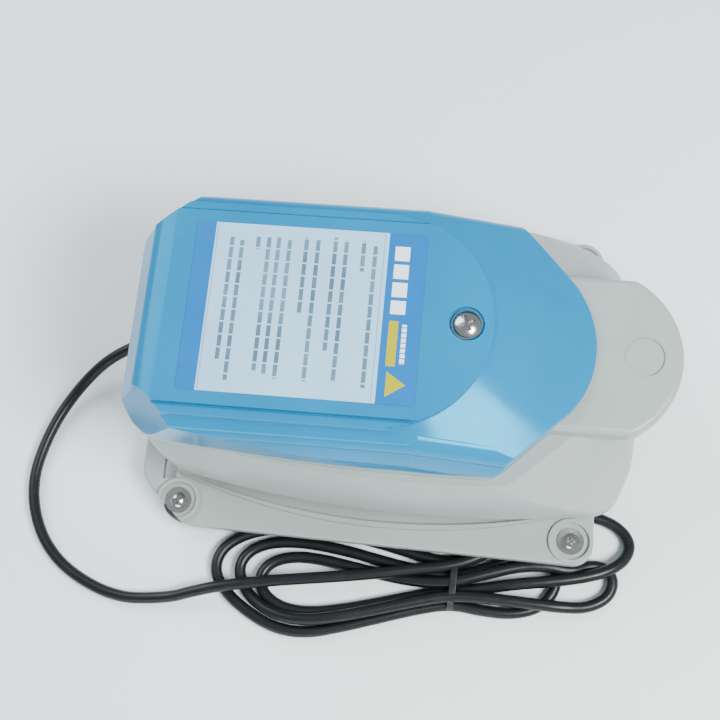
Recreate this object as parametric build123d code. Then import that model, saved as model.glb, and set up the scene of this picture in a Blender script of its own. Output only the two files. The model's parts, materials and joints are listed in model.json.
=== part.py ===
from build123d import *
from math import cos, pi, radians, sin, tan
import os

os.makedirs("parts", exist_ok=True)

# ---------------------------------------------------------------- overall sizes (mm)
LENGTH = 229.0            # nose tip to the rear edge of the base flange
HEIGHT = 107.0            # floor to the raised panel of the cover
FLANGE_HALF_REAR = 73.0   # half width of the base flange at the rear lugs
FLANGE_HALF_FRONT = 76.0  # half width of the base flange at the front lugs
X_REAR = -LENGTH / 2
X_NOSE = LENGTH / 2

# base tray and feet
FOOT_H = 10.5             # free height under the flange
FOOT_R = 7.5
FLANGE_T = 4.5
TRAY_TOP = FOOT_H + FLANGE_T
FLANGE_X_FRONT = 88.8
LUG_REAR = (-96.2, 61.5)
LUG_FRONT = (78.9, 65.4)
LUG_POCKET_R = 8.2
LUG_POCKET_T = 1.4
RAIL_H = 3.0
RAIL_W = 2.2

# body shell
SHELL_T = 2.6
BODY_Z0 = TRAY_TOP
BODY_TOP = 72.0
SIDE_MID = 12.0           # station of the greatest width
SIDE_R = 490.0            # bulge of the body sides
DECK_TOP = 79.0
NOSE_TOP = 81.5
NOSE_T = 10.0
NOSE_BACK = 34.0          # hidden rear edge of the nose slab, on the deck
NOSE_HALF = 33.0
NOSE_END_R = 37.5
NOSE_EDGE_R = 2.6
RECESS_X = 98.4
RECESS_R = 8.3
RECESS_T = 0.8

# top cover
COVER_T = 2.4
COVER_BACK = -111.0
COVER_TIP = 79.0
COVER_HALF = 54.5
COVER_SIDE_R = 900.0
COVER_RIM = 73.5          # rim height at the rear corners
CORNER_CUT = (-91.5, 45.4, -105.2, 33.6)  # line of the bevel on the rear corners, 10 below the top
CORNER_LEAN = 18.0        # how far the bevel leans out going down, degrees
RIM_RISE = 5.0            # how far the rim arches up along the sides
RIM_GAP = 0.4
PANEL_HALF = 40.4
PANEL_ARC_R = 44.0
PANEL_ARC_X = -7.0
PANEL_STEP = 1.6
FRONT_SLOPE = 0.47
SHOULDER_X = 8.0          # where the side bands begin to dip towards the front
SHOULDER_DIP = 15.0       # degrees
COVER_SCREW_X = 26.2
COVER_FIT = 0.6           # gap between the cover and the deck inside it

# label sheet
LABEL_X0 = -84.0
LABEL_X1 = 8.5
LABEL_HALF = 35.2
LABEL_T = 0.25

# filter seat
FILTER_X0 = -84.0
FILTER_X1 = -4.0
FILTER_HALF = 34.0
FILTER_Z = 71.4

# cover screw
SCREW_R = 2.2
HEAD_SEAT = HEIGHT - 2.6
POST_TOP = HEIGHT - 15.0  # top of the threaded post on the deck
SCREW_END = POST_TOP - 9.5
SCREW_FIT = 0.05          # radial clearance of the screw in its post
POST_R = 4.0
POST_FLANGE_R = 6.5
POST_FLANGE_T = 1.5

# screws that join the base to the body
BOSS_REAR = (-86.0, 37.0)
BOSS_FRONT = (74.0, 35.5)
BOSS_R = 5.0
BOSS_TOP = 29.0
BOSS_SCREW_R = 1.8

# pump works, on one axis along X
AXIS_Z = 46.0
MOTOR_X = -13.0
HALF_GAP = 45.0           # from the middle to the inner face of an end plate
PLATE_T = 4.0
PLATE_HALF_W = 31.0
PLATE_HALF_H = 23.0
BEAM = 6.0
BEAD_T = 3.0
BEAD_R = 22.4
CHAMBER_R = 18.0
CHAMBER_T = 8.0
DISC_R = 12.0
DISC_T = 1.3
WEB_T = 2.0
STROKE = 1.5              # shuttle travel each way
HEAD_T = 14.0
HEAD_COVER_T = 12.0
PORT_R = 3.0
PORT_OFF = 11.0
FLAP_R = 4.6
FLAP_T = 0.8
FLAP_TAB = 2.2            # half width of a flap's hinge tab
ROD_R = 4.0
ROD_THREAD_R = 2.0
SHUTTLE_T = 6.0
AIR_GAP = 1.2
POLE_W = 12.0
POLE_H = 18.0
CORE_HALF = 24.0
CORE_Y = 40.0
YOKE = 6.0
SLEEVE = 1.2
WIND_T = 5.4
THROUGH_R = 1.6
MOUNT_R = 5.5
STUB_R = 3.4
STUB_BORE = 2.2
HOSE_WALL = 1.4
HOSE_Y = -45.5
HOSE_Z = 35.0
MANIFOLD_X = (76.0, 88.0)
MANIFOLD_HALF = 20.0
MANIFOLD_Z = (24.0, 54.0)

# outlet
SPIGOT_R = 4.2
SPIGOT_BORE = 2.8
SPIGOT_Z = 40.0
NICHE_X = 93.0
SPIGOT_END = 111.0
SPIGOT_NECK_R = 6.0

# cord
CORD_R = 2.6
CORD_Z = 2.8
GLAND_Y = 9.5
GLAND_Z = 22.5
GLAND_FACE = -105.4
GLAND_OUT = -119.0
GLAND_NECK_R = 5.0

parts = {}


def keep(name, shape):
    """Register a sub-part under its node name."""
    parts[name] = shape


def block(x0, x1, y0, y1, z0, z1):
    """A box given by its two corners."""
    return Pos((x0 + x1) / 2, (y0 + y1) / 2, (z0 + z1) / 2) * Box(x1 - x0, y1 - y0, z1 - z0)


def rod_z(x, y, z0, z1, r):
    """A vertical cylinder."""
    return Pos(x, y, (z0 + z1) / 2) * Cylinder(r, z1 - z0)


def rod_x(x0, x1, y, z, r):
    """A cylinder along X."""
    return Pos((x0 + x1) / 2, y, z) * Rot(0, 90, 0) * Cylinder(r, x1 - x0)


def rod_y(x, y0, y1, z, r):
    """A cylinder along Y."""
    return Pos(x, (y0 + y1) / 2, z) * Rot(90, 0, 0) * Cylinder(r, y1 - y0)


def plan(z, half, side_r, back, shoulder, knee, tip, r_back, r_shoulder, r_knee):
    """Closed plan outline at height z: bulged sides, rounded back, pointed round front."""
    def y_at(x):
        return half - (x - SIDE_MID) ** 2 / (2 * side_r)

    a = (back, -y_at(back))
    b = (shoulder, -y_at(shoulder))
    k = (knee[0], -knee[1])
    lines = [
        ThreePointArc(a, (SIDE_MID, -half), b),
        Line(b, k),
        ThreePointArc(k, (tip, 0), (k[0], -k[1])),
        Line((k[0], -k[1]), (b[0], -b[1])),
        ThreePointArc((b[0], -b[1]), (SIDE_MID, half), (a[0], -a[1])),
        Line((a[0], -a[1]), a),
    ]
    face = make_face(lines)
    for point, r in ((a, r_back), (b, r_shoulder), (k, r_knee)):
        pair = [v for v in face.vertices() if abs(v.X - point[0]) + abs(abs(v.Y) + point[1]) < 0.02]
        face = fillet(pair, r)
    return Pos(0, 0, z) * face


# ---------------------------------------------------------------- body shell
def body_form(inset, z_low, z_high):
    """The bulged body as a smooth loft, optionally shrunk by a wall thickness."""
    t = inset
    return loft([
        plan(z_low, 58 - t, SIDE_R, -102 + t, 84 - t, (95 - t, 36 - t), 97 - t, 18, 14, 20),
        plan(40, 63.3 - t, SIDE_R, -106.5 + t, 89 - t, (100 - t, 38 - t), 102.5 - t, 22, 14, 20),
        plan(58, 61.5 - t, SIDE_R, -109.5 + t, 66 - t, (90 - t, 39 - t), 98 - t, 22, 16, 20),
        plan(z_high, 57 - t, SIDE_R, -110.6 + t, 47 - t, (76 - t, 29 - t), 86 - t, 19, 12, 16),
    ])


def nose_face(grow):
    """Plan of the flat nose: parallel sides and a broad round end."""
    h = NOSE_HALF + grow
    end = X_NOSE + grow
    r = NOSE_END_R + grow
    x_side = end - r + (r ** 2 - h ** 2) ** 0.5
    face = make_face([
        Line((NOSE_BACK, h), (NOSE_BACK, -h)),
        Line((NOSE_BACK, -h), (x_side, -h)),
        ThreePointArc((x_side, -h), (end, 0), (x_side, h)),
        Line((x_side, h), (NOSE_BACK, h)),
    ])
    tips = [v for v in face.vertices() if v.X > 60]
    return fillet(tips, 7)


def nose():
    """The nose slab with rounded rim and the round finger recess."""
    slab = extrude(Pos(0, 0, NOSE_TOP - NOSE_T) * nose_face(0), NOSE_T)
    for z, r in ((NOSE_TOP, NOSE_EDGE_R), (NOSE_TOP - NOSE_T, 1.6)):
        rim = [e for e in slab.edges() if e.center().X > NOSE_BACK + 1 and abs(e.center().Z - z) < 0.01]
        slab = fillet(rim, r)
    recess = rod_z(RECESS_X, 0, NOSE_TOP - RECESS_T, NOSE_TOP + 1, RECESS_R)
    return slab - recess


def cover_plan(z, inset):
    """Plan outline of the cover."""
    t = inset
    return plan(z, COVER_HALF - t, COVER_SIDE_R, COVER_BACK + t, 42 - t, (70 - t, 26 - t * 0.7),
                COVER_TIP - t, 18, 12, 14)


def below_rim(lower):
    """Everything under the arched parting line between body and cover."""
    z = COVER_RIM - lower
    line = ThreePointArc((-125, z - 1), (-25, z + RIM_RISE), (85, z - 0.5))
    face = make_face([
        line,
        Line((85, z - 0.5), (85, 0)),
        Line((85, 0), (-125, 0)),
        Line((-125, 0), (-125, z - 1)),
    ])
    return extrude(Plane.XZ * face, 80, both=True)


def boss_places():
    """Plan positions of the four screws that join base and body."""
    return [(x, s * y) for x, y in (BOSS_REAR, BOSS_FRONT) for s in (-1, 1)]


def body_shell():
    """Grey shell: bulged walls, deck inside the cover, nose, filter seat and front niche."""
    outer = body_form(0, BODY_Z0, BODY_TOP)
    inner = body_form(SHELL_T, BODY_Z0, BODY_TOP - SHELL_T)
    deck = extrude(cover_plan(BODY_TOP - 4, COVER_T + COVER_FIT), DECK_TOP - BODY_TOP + 4)
    deck &= shoulder_cut(PANEL_STEP + COVER_T + COVER_FIT)
    deck -= corner_cut(COVER_T + COVER_FIT)
    lip = extrude(cover_plan(BODY_TOP - 2, 0.3), 14) & below_rim(RIM_GAP)
    shell = outer + deck + lip + nose()
    shell -= inner
    shell -= block(FILTER_X0, FILTER_X1, -FILTER_HALF, FILTER_HALF, FILTER_Z, DECK_TOP + 1)
    for x in (-72, -54, -36, -18):
        shell -= block(x - 3, x + 3, -24, 24, BODY_TOP - 9, DECK_TOP)
    t = SHELL_T
    shell += block(NICHE_X - t, 101, -13 - t, 13 + t, 27 - t, 53 + t) & outer
    shell -= block(NICHE_X, 120, -13, 13, 27, 53)
    shell -= rod_x(80, 100, 0, SPIGOT_Z, SPIGOT_NECK_R)
    shell += rod_x(GLAND_FACE, GLAND_FACE + 6, GLAND_Y, GLAND_Z, 7.2)
    shell -= rod_x(-116, -90, GLAND_Y, GLAND_Z, GLAND_NECK_R)
    for x, y in boss_places():
        web = block(x - 1.5, x + 1.5, min(y, y * 1.6), max(y, y * 1.6), BODY_Z0, BOSS_TOP) & outer
        shell += rod_z(x, y, BODY_Z0, BOSS_TOP, BOSS_R) + web
        shell -= rod_z(x, y, BODY_Z0 - 1, BOSS_TOP - 2, BOSS_SCREW_R)
    return shell


# ---------------------------------------------------------------- top cover
def profile_cut(drop):
    """Side profile of the cover extruded across it."""
    top = HEIGHT - drop
    face = make_face([
        Line((COVER_BACK - 2, 60), (COVER_BACK - 2 + drop * 0.6, 80)),
        Line((COVER_BACK - 2 + drop * 0.6, 80), (COVER_BACK + 6 + drop * 0.6, top - 9)),
        ThreePointArc((COVER_BACK + 6 + drop * 0.6, top - 9), (COVER_BACK + 10 + drop * 0.5, top - 3),
                      (COVER_BACK + 18, top)),
        Line((COVER_BACK + 18, top), (12, top)),
        ThreePointArc((12, top), (27, top - 0.8), (42, top - 3.2)),
        Line((42, top - 3.2), (90, top - 16)),
        Line((90, top - 16), (90, 60)),
        Line((90, 60), (COVER_BACK - 2, 60)),
    ])
    return extrude(Plane.XZ * face, 70, both=True)


def section_cut(drop):
    """Cross-section of the cover extruded along it: shoulder step and rounded sides."""
    t = drop
    top = HEIGHT - t
    half = COVER_HALF + 1 - t * 0.8
    ridge = PANEL_HALF + 4.8 - t * 0.5
    pts = [(ridge, top), (ridge + 0.8, top - 3.2), (half - 3.2, top - 11)]
    right = [
        Line((0, top), pts[0]),
        Line(pts[0], pts[1]),
        ThreePointArc(pts[1], (half - 4.4, top - 6.6), pts[2]),
        ThreePointArc(pts[2], (half - 0.9, top - 18), (half, top - 27)),
        Line((half, top - 27), (half, 60)),
        Line((half, 60), (0, 60)),
        Line((0, 60), (0, top)),
    ]
    face = make_face(right)
    solid = extrude(Plane.YZ * face, 130, both=True)
    return solid + mirror(solid, Plane.XZ)


def shoulder_cut(drop):
    """The same cross-section dipping towards the front, acting on the side bands only."""
    turn = Pos(SHOULDER_X, 0, HEIGHT) * Rot(0, SHOULDER_DIP, 0) * Pos(-SHOULDER_X, 0, -HEIGHT)
    keep_y = PANEL_HALF + 3.6
    keep = block(-160, SHOULDER_X, -90, 90, 0, 140) + block(-160, 160, -keep_y, keep_y, 0, 140)
    return turn * section_cut(drop) + keep


def corner_cut(drop):
    """Everything outside the leaning bevels on the two upper rear corners."""
    x0, y0, x1, y1 = CORNER_CUT
    run = Vector(x1 - x0, y1 - y0, 0).normalized()
    out = Vector(run.Y, -run.X, 0)
    out = out if out.X < 0 else -out
    lean = radians(CORNER_LEAN)
    normal = out * cos(lean) + Vector(0, 0, sin(lean))
    origin = Vector(x0, y0, HEIGHT - 10) - normal * drop
    slab_far = Plane(origin=origin, x_dir=run, z_dir=normal) * Pos(0, 0, 15) * Box(120, 90, 30)
    return slab_far + mirror(slab_far, Plane.XZ)


def cone_cut(drop):
    """Everything above the sloping front of the cover, a cone about the panel arc centre."""
    z = HEIGHT - PANEL_STEP - 1.9 - drop
    far = 95.0
    face = make_face([
        Line((PANEL_ARC_R, z), (far, z - FRONT_SLOPE * (far - PANEL_ARC_R))),
        Line((far, z - FRONT_SLOPE * (far - PANEL_ARC_R)), (far, HEIGHT + 5)),
        Line((far, HEIGHT + 5), (PANEL_ARC_R, HEIGHT + 5)),
        Line((PANEL_ARC_R, HEIGHT + 5), (PANEL_ARC_R, z)),
    ])
    ring = revolve(Plane.XZ * face, Axis.Z, 360)
    return Pos(PANEL_ARC_X, 0, 0) * ring - block(-160, PANEL_ARC_X + 6, -90, 90, 60, 130)


def panel_face(grow):
    """Plan of the raised panel: straight sides that run out at the rear and an arched front."""
    h = PANEL_HALF + grow
    r = PANEL_ARC_R + grow
    x = PANEL_ARC_X + (r ** 2 - h ** 2) ** 0.5
    back = COVER_BACK - 4
    return make_face([
        Line((back, h), (back, -h)),
        Line((back, -h), (x, -h)),
        ThreePointArc((x, -h), (PANEL_ARC_X + r, 0), (x, h)),
        Line((x, h), (back, h)),
    ])


def cover_form(t):
    """Cover shape without the raised panel, shrunk by t."""
    form = extrude(cover_plan(COVER_RIM - 8, t), HEIGHT - COVER_RIM + 8)
    form &= profile_cut(PANEL_STEP + t)
    form &= section_cut(PANEL_STEP + t)
    form &= shoulder_cut(PANEL_STEP + t)
    return form - cone_cut(t) - corner_cut(t)


def top_cover():
    """Blue moulded cover with raised panel, arched rim and screw boss."""
    outer = cover_form(0)
    panel = extrude(Pos(0, 0, HEIGHT - 4) * panel_face(0), 6) & profile_cut(0)
    panel = (panel & extrude(cover_plan(HEIGHT - 6, 0), 12)) - corner_cut(0)
    trench = extrude(Pos(0, 0, HEIGHT - PANEL_STEP - 0.9) * panel_face(0.9), 8)
    outer = outer - trench + panel
    inner = cover_form(COVER_T)
    shell = outer - inner
    shell += rod_z(COVER_SCREW_X, 0, POST_TOP + 0.4, HEIGHT - 4, 5.5)
    for y in (-30, 30):
        shell += block(-70, 0, y - 0.8, y + 0.8, DECK_TOP + 6, HEIGHT - 3)
    shell -= below_rim(0)
    shell -= extrude(Pos(0, 0, 60) * nose_face(0.5), NOSE_TOP + 0.5 - 60)
    shell -= rod_z(COVER_SCREW_X, 0, HEAD_SEAT, HEIGHT + 5, 7.0)
    shell -= rod_z(COVER_SCREW_X, 0, 60, HEIGHT, SCREW_R + 0.4)
    return shell


def cover_label():
    """Plain two-tone sheet stuck on the raised panel."""
    sheet = RectangleRounded(LABEL_X1 - LABEL_X0, 2 * LABEL_HALF, 1.5)
    return extrude(Pos((LABEL_X0 + LABEL_X1) / 2, 0, HEIGHT) * sheet, LABEL_T)


def cross_recess(x, y, z, size, depth):
    """Cutter for a cross recess."""
    a = Pos(x, y, z - depth / 2 + 1) * Box(size, size * 0.22, depth + 2)
    b = Pos(x, y, z - depth / 2 + 1) * Box(size * 0.22, size, depth + 2)
    return a + b


def dome_screw(x, y, z_seat, head_r, head_h, shank_r, length, turn):
    """Pan head screw, head above z_seat and shank below."""
    ball = (head_r ** 2 + head_h ** 2) / (2 * head_h)
    dome = Pos(0, 0, head_h - ball) * Sphere(ball)
    head = dome & Pos(0, 0, head_h / 2 + 0.3) * Cylinder(head_r, head_h)
    head += Pos(0, 0, 0.35) * Cylinder(head_r * 0.99, 0.7)
    screw = head + Pos(0, 0, -length / 2 + 0.1) * Cylinder(shank_r, length + 0.2)
    screw -= cross_recess(0, 0, head_h, head_r * 1.05, head_h * 0.75)
    return Pos(x, y, z_seat) * Rot(0, 0, turn) * screw


def cover_screw():
    """Large domed screw that holds the cover."""
    return dome_screw(COVER_SCREW_X, 0, HEAD_SEAT, 6.2, 2.9, SCREW_R, HEAD_SEAT - SCREW_END, 25)


def screw_post():
    """Threaded post on the deck that takes the cover screw."""
    x, z = COVER_SCREW_X, DECK_TOP
    post = rod_z(x, 0, z, z + POST_FLANGE_T, POST_FLANGE_R) + rod_z(x, 0, z, POST_TOP, POST_R)
    return post - rod_z(x, 0, z + POST_FLANGE_T, POST_TOP + 1, SCREW_R + SCREW_FIT)


def cover_gasket():
    """Soft ring between the deck and the underside of the cover boss zone."""
    long = FILTER_X1 - FILTER_X0
    wide = 2 * FILTER_HALF
    ring = extrude(Pos(0, 0, DECK_TOP) * Rectangle(long + 14, wide + 12), 1.5)
    ring -= extrude(Pos(0, 0, DECK_TOP - 1) * Rectangle(long + 6, wide + 4), 4)
    return Pos((FILTER_X0 + FILTER_X1) / 2, 0, 0) * ring


def filter_pad():
    """Felt pad in the seat of the deck."""
    half = FILTER_HALF - 0.5
    pad = block(FILTER_X0 + 0.5, FILTER_X1 - 0.5, -half, half, FILTER_Z, DECK_TOP + 2)
    return fillet(pad.edges().filter_by(Axis.Z), 3)


# ---------------------------------------------------------------- base tray and feet
def tray_plan(z):
    """Plan of the base flange with its four lugs."""
    a = (X_REAR, 52)
    b = (-93, FLANGE_HALF_REAR - 0.8)
    c = (FLANGE_X_FRONT, FLANGE_HALF_FRONT)
    face = make_face([
        Line((X_REAR, -a[1]), (b[0], -b[1])),
        Line((b[0], -b[1]), (c[0], -c[1])),
        Line((c[0], -c[1]), (c[0], -44)),
        ThreePointArc((c[0], -44), (99, 0), (c[0], 44)),
        Line((c[0], 44), c),
        Line(c, b),
        Line(b, a),
        Line(a, (X_REAR, -a[1])),
    ])
    front = [v for v in face.vertices() if abs(v.X - c[0]) < 0.1 and abs(v.Y) > 50]
    face = fillet(front, 9)
    rear = [v for v in face.vertices() if v.X < -90]
    return Pos(0, 0, z) * fillet(rear, 15)


def rail_face(grow):
    """Oval of the raised rail on the flange."""
    h = 64.4 + grow
    face = make_face([
        ThreePointArc((-100, -48), (2, -h), (92, -49)),
        ThreePointArc((92, -49), (96 + grow, 0), (92, 49)),
        ThreePointArc((92, 49), (2, h), (-100, 48)),
        ThreePointArc((-100, 48), (-104 - grow, 0), (-100, -48)),
    ])
    return face


def base_tray():
    """Base: flange with lugs, oval rail, floor inside the body and screw pockets."""
    tray = extrude(tray_plan(FOOT_H), FLANGE_T)
    top = [e for e in tray.edges() if abs(e.center().Z - TRAY_TOP) < 0.01]
    tray = fillet(top, 1.2)
    rail = extrude(Pos(0, 0, TRAY_TOP - 1) * rail_face(RAIL_W), RAIL_H + 1)
    rail -= extrude(Pos(0, 0, TRAY_TOP - 2) * rail_face(0), RAIL_H + 4)
    rail -= body_form(-0.4, BODY_Z0 - 0.3, BODY_TOP)
    rail &= extrude(tray_plan(0), 60)
    rail -= block(-130, -90, -38, 38, TRAY_TOP, 40)
    tray += rail
    for x, y in (LUG_REAR, LUG_FRONT):
        for s in (-1, 1):
            boss = rod_z(x, s * y, TRAY_TOP - 1, TRAY_TOP + LUG_POCKET_T, LUG_POCKET_R + 1.6)
            boss &= extrude(tray_plan(0), 60)
            boss -= body_form(-0.4, BODY_Z0 - 0.3, BODY_TOP)
            tray += boss
            tray -= rod_z(x, s * y, TRAY_TOP - 0.2, TRAY_TOP + 9, LUG_POCKET_R)
            tray -= rod_z(x, s * y, 0, 40, 2.3)
    for s in (-1, 1):
        tray -= block(-104.8, -98.8, min(s * 43, s * 52), max(s * 43, s * 52), 0, 40)
    for x, y in boss_places():
        tray -= rod_z(x, y, 0, 40, BOSS_SCREW_R + 0.2)
        tray -= rod_z(x, y, 0, FOOT_H + 2.2, 4.0)
    vents = [block(x - 1.6, x + 1.6, -18, 18, 0, 40) for x in (-78, -70, 58, 66)]
    for v in vents:
        tray -= v
    return tray


def foot(x, y):
    """Rubber foot under a lug, hollow for the screw end."""
    body = rod_z(x, y, 0, FOOT_H, FOOT_R)
    low = [e for e in body.edges() if e.center().Z < 0.01]
    body = fillet(low, 1.2)
    return body - rod_z(x, y, 1.6, FOOT_H + 1, 2.0)


def foot_screws():
    """Four washer head screws through the lugs into the feet."""
    out = []
    for (x, y), turn in ((LUG_REAR, 10), (LUG_FRONT, 40)):
        for s in (-1, 1):
            seat = TRAY_TOP - 0.2
            washer = rod_z(x, s * y, seat, seat + 0.7, 5.9) - rod_z(x, s * y, 0, 40, 2.0)
            screw = dome_screw(x, s * y, seat + 0.7, 4.0, 2.4, 2.0, seat + 0.7 - 3.0, turn)
            out.append(washer + screw)
    return Compound(out)


def body_screws():
    """Four screws driven up through the base into the body bosses."""
    out = []
    for x, y in boss_places():
        head = rod_z(x, y, FOOT_H + 0.2, FOOT_H + 2.2, 3.4)
        shank = rod_z(x, y, FOOT_H + 2.2, BOSS_TOP - 4, BOSS_SCREW_R)
        out.append(head + shank - rod_z(x, y, 0, FOOT_H + 1.2, 1.2))
    return Compound(out)


# ---------------------------------------------------------------- linear motor
def along(side, d):
    """Station at distance d from the motor middle, side -1 rear or 1 front."""
    return MOTOR_X + side * d


def slab(side, d0, d1, y0, y1, z0, z1):
    """Box between two stations of one side."""
    a, b = sorted((along(side, d0), along(side, d1)))
    return block(a, b, y0, y1, z0, z1)


def shaft(side, d0, d1, y, z, r):
    """Cylinder along X between two stations of one side."""
    a, b = sorted((along(side, d0), along(side, d1)))
    return rod_x(a, b, y, z, r)


PLATE_OUT = HALF_GAP + PLATE_T
HEAD_IN = PLATE_OUT + BEAD_T
HEAD_OUT = HEAD_IN + HEAD_T
COVER_OUT = HEAD_OUT + HEAD_COVER_T
Z_LOW = AXIS_Z - PLATE_HALF_H
Z_HIGH = AXIS_Z + PLATE_HALF_H
CORNERS = [(y, z) for y in (-27.0, 27.0) for z in (AXIS_Z - 19.0, AXIS_Z + 19.0)]


def end_plate(side):
    """End plate with the opening behind its diaphragm."""
    plate = slab(side, HALF_GAP, PLATE_OUT, -PLATE_HALF_W, PLATE_HALF_W, Z_LOW, Z_HIGH)
    plate -= shaft(side, HALF_GAP - 1, PLATE_OUT + 1, 0, AXIS_Z, CHAMBER_R)
    for y, z in CORNERS:
        plate -= shaft(side, HALF_GAP - 1, PLATE_OUT + 1, y, z, THROUGH_R)
    return plate


def motor_rails():
    """Four corner beams with posts that hold the cores and ledges over the mounts."""
    low = AXIS_Z - POLE_H / 2
    rails = []
    for sy in (-1, 1):
        y0, y1 = sorted((sy * PLATE_HALF_W, sy * (PLATE_HALF_W - BEAM)))
        ledge = sorted((sy * PLATE_HALF_W, sy * 19))
        bottom = block(along(-1, HALF_GAP), along(1, HALF_GAP), y0, y1, Z_LOW, Z_LOW + BEAM)
        top = block(along(-1, HALF_GAP), along(1, HALF_GAP), y0, y1, Z_HIGH - BEAM, Z_HIGH)
        for side in (-1, 1):
            bottom += slab(side, CORE_HALF - YOKE, CORE_HALF, y0, y1, Z_LOW + BEAM, low)
            top += slab(side, CORE_HALF - YOKE, CORE_HALF, y0, y1, low + POLE_H, Z_HIGH - BEAM)
            bottom += slab(side, HALF_GAP - 12, HALF_GAP, *ledge, Z_LOW, Z_LOW + 3)
            for y, z in CORNERS:
                pin = shaft(side, HALF_GAP - 2, HALF_GAP + 1, y, z, THROUGH_R)
                if y0 < y < y1:
                    bottom -= pin
                    top -= pin
        rails += [bottom, top]
    return Compound(rails)


def stator_core(sy):
    """Laminated E core on one side of the shuttle."""
    face = SHUTTLE_T / 2 + AIR_GAP
    z0, z1 = AXIS_Z - POLE_H / 2, AXIS_Z + POLE_H / 2
    y0, y1 = sorted((sy * (CORE_Y - YOKE), sy * CORE_Y))
    core = block(MOTOR_X - CORE_HALF, MOTOR_X + CORE_HALF, y0, y1, z0, z1)
    y0, y1 = sorted((sy * face, sy * CORE_Y))
    core += block(MOTOR_X - POLE_W / 2, MOTOR_X + POLE_W / 2, y0, y1, z0, z1)
    for side in (-1, 1):
        core += slab(side, CORE_HALF - YOKE, CORE_HALF, y0, y1, z0, z1)
    for k in range(-3, 4):
        z = AXIS_Z + k * POLE_H / 8
        y0, y1 = sorted((sy * (CORE_Y - 0.4), sy * (CORE_Y + 1)))
        core -= block(MOTOR_X - 30, MOTOR_X + 30, y0, y1, z - 0.15, z + 0.15)
    return core


BOBBIN_Y0 = 7.0
BOBBIN_Y1 = CORE_Y - YOKE - 0.3


def bobbin(sy):
    """Plastic spool around the middle pole."""
    y0, y1 = sorted((sy * BOBBIN_Y0, sy * BOBBIN_Y1))
    hx, hz = POLE_W / 2 + SLEEVE, POLE_H / 2 + SLEEVE
    spool = block(MOTOR_X - hx, MOTOR_X + hx, y0, y1, AXIS_Z - hz, AXIS_Z + hz)
    fx, fz = hx + WIND_T + 0.4, hz + WIND_T + 0.4
    for a in (y0, y1 - SLEEVE):
        spool += block(MOTOR_X - fx, MOTOR_X + fx, a, a + SLEEVE, AXIS_Z - fz, AXIS_Z + fz)
    hx, hz = POLE_W / 2, POLE_H / 2
    return spool - block(MOTOR_X - hx, MOTOR_X + hx, y0 - 1, y1 + 1, AXIS_Z - hz, AXIS_Z + hz)


def winding(sy):
    """Copper winding on the spool."""
    y0, y1 = sorted((sy * (BOBBIN_Y0 + SLEEVE), sy * (BOBBIN_Y1 - SLEEVE)))
    hx, hz = POLE_W / 2 + SLEEVE, POLE_H / 2 + SLEEVE
    ox, oz = hx + WIND_T, hz + WIND_T
    coil = block(MOTOR_X - ox, MOTOR_X + ox, y0, y1, AXIS_Z - oz, AXIS_Z + oz)
    coil = fillet(coil.edges().filter_by(Axis.Y), 5)
    return coil - block(MOTOR_X - hx, MOTOR_X + hx, y0 - 1, y1 + 1, AXIS_Z - hz, AXIS_Z + hz)


MAGNET_D = 14.0           # magnet middle from the motor middle
MAGNET_W = 10.0
MAGNET_H = 12.0


def shuttle():
    """Flat armature bar with two magnet windows and a threaded rod at each end."""
    bar = block(MOTOR_X - 32, MOTOR_X + 32, -SHUTTLE_T / 2, SHUTTLE_T / 2, AXIS_Z - 8, AXIS_Z + 8)
    bar = fillet(bar.edges().filter_by(Axis.Y), 3)
    for side in (-1, 1):
        a, b = MAGNET_D - MAGNET_W / 2, MAGNET_D + MAGNET_W / 2
        bar -= slab(side, a, b, -9, 9, AXIS_Z - MAGNET_H / 2, AXIS_Z + MAGNET_H / 2)
        bar += shaft(side, 31, PLATE_OUT + 0.5 - DISC_T, 0, AXIS_Z, ROD_R)
        bar += shaft(side, 33, HEAD_IN + 3.8, 0, AXIS_Z, ROD_THREAD_R)
    return bar


def magnets():
    """Two block magnets in the shuttle windows."""
    out = []
    for side in (-1, 1):
        a, b = MAGNET_D - MAGNET_W / 2, MAGNET_D + MAGNET_W / 2
        z0, z1 = AXIS_Z - MAGNET_H / 2, AXIS_Z + MAGNET_H / 2
        out.append(slab(side, a, b, -SHUTTLE_T / 2, SHUTTLE_T / 2, z0, z1))
    return Compound(out)


def clamp_discs(side):
    """The two discs that pinch the middle of a diaphragm."""
    mid = PLATE_OUT + BEAD_T / 2
    inner = shaft(side, mid - WEB_T / 2 - DISC_T, mid - WEB_T / 2, 0, AXIS_Z, DISC_R)
    outer = shaft(side, mid + WEB_T / 2, mid + WEB_T / 2 + DISC_T, 0, AXIS_Z, DISC_R)
    bore = shaft(side, 40, 60, 0, AXIS_Z, ROD_THREAD_R)
    return Compound([inner - bore, outer - bore])


def rod_nut(side):
    """Hexagon nut that holds the discs on the rod."""
    d = PLATE_OUT + BEAD_T / 2 + WEB_T / 2 + DISC_T
    a, b = sorted((along(side, d), along(side, d + 2.4)))
    face = Plane.YZ * RegularPolygon(3.9, 6)
    nut = Pos(a, 0, AXIS_Z) * extrude(face, b - a)
    return nut - shaft(side, 40, 62, 0, AXIS_Z, ROD_THREAD_R)


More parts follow.
